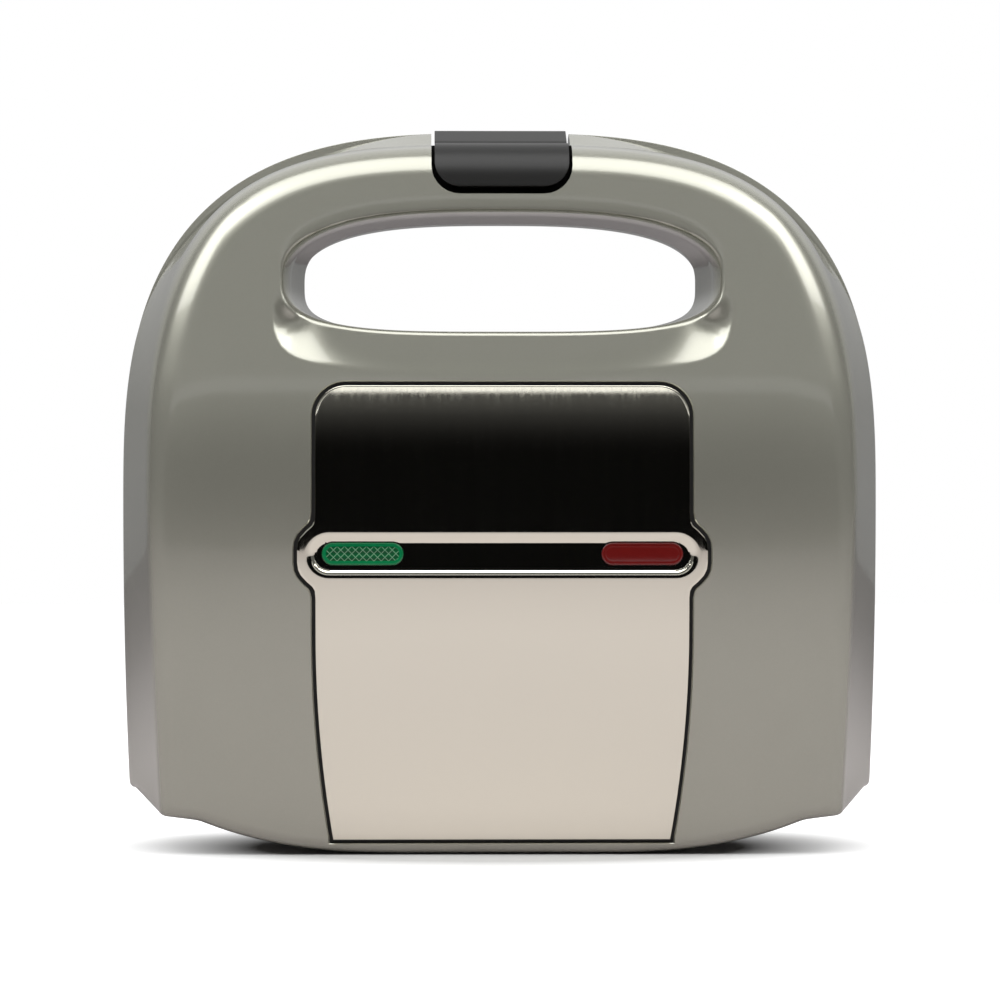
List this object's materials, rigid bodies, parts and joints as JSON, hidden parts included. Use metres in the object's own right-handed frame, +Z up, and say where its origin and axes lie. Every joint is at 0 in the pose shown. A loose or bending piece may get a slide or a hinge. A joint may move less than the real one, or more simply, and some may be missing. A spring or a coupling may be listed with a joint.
{
  "type": "sandwich maker",
  "caption": "Electric sandwich toaster standing on its hinged end, with an arched body, a carrying handle with a latch, a steel trim plate and ribbed non-stick plates inside.",
  "frame": {"origin": "middle of the bounding box's bottom, on the surface the hinged end stands on", "axes": "+X to the right seen from the lid's front, +Y from the lid towards the feet, +Z up towards the carrying handle; the steel trim plate faces -Y"},
  "size_m": [0.23, 0.0903, 0.2188],
  "materials": {
    "champagne_paint": "champagne-grey metallic paint under a satin clear coat",
    "trim_steel": "finely brushed, bright",
    "black_plastic": "fine matte grain",
    "grey_plastic": "matte",
    "green_lens": "clear green, patterned",
    "red_lens": "clear dark red, smooth",
    "lamp_glass": "clear",
    "non_stick": "black non-stick coating on cast aluminium",
    "heater_steel": "heat-tinted sheath",
    "zinc_steel": "bright zinc plating",
    "ceramic": "unglazed ceramic",
    "rubber": "matte"
  },
  "bodies": {
    "base": {"base_shell": "champagne_paint", "base_frame": "grey_plastic", "lower_plate": "non_stick", "lower_heater": "heater_steel", "lower_reflector": "zinc_steel", "thermal_fuse": "ceramic", "terminal_block": "ceramic", "cord_gland": "rubber", "hinge_pin_left": "zinc_steel", "hinge_pin_right": "zinc_steel", "foot_left_low": "rubber", "base_screw_left_low": "zinc_steel", "foot_left_high": "rubber", "base_screw_left_high": "zinc_steel", "foot_right_low": "rubber", "base_screw_right_low": "zinc_steel", "foot_right_high": "rubber", "base_screw_right_high": "zinc_steel"},
    "lid": {"lid_shell": "champagne_paint", "lid_frame": "grey_plastic", "trim_plate": "trim_steel", "green_lens": "green_lens", "red_lens": "red_lens", "green_lamp": "lamp_glass", "red_lamp": "lamp_glass", "lamp_carrier": "black_plastic", "upper_plate": "non_stick", "upper_heater": "heater_steel", "upper_reflector": "zinc_steel", "thermostat": "ceramic", "thermostat_bracket": "zinc_steel", "latch_pin": "zinc_steel", "latch_spring": "zinc_steel", "lid_screw_left_low": "zinc_steel", "lid_screw_left_high": "zinc_steel", "lid_screw_right_low": "zinc_steel", "lid_screw_right_high": "zinc_steel"},
    "latch": {"latch": "black_plastic"}
  },
  "joints": [
    {"name": "lid_hinge", "type": "hinge", "parent": "base", "child": "lid", "pos_m": [0, 0.00115, 0.014], "axis": [1, 0, 0], "range_deg": [0, 105]},
    {"name": "latch_pivot", "type": "hinge", "parent": "lid", "child": "latch", "pos_m": [0, -0.01085, 0.2075], "axis": [1, 0, 0], "range_deg": [0, 4.5], "stiffness_Nm_per_rad": 0.3}
  ]
}
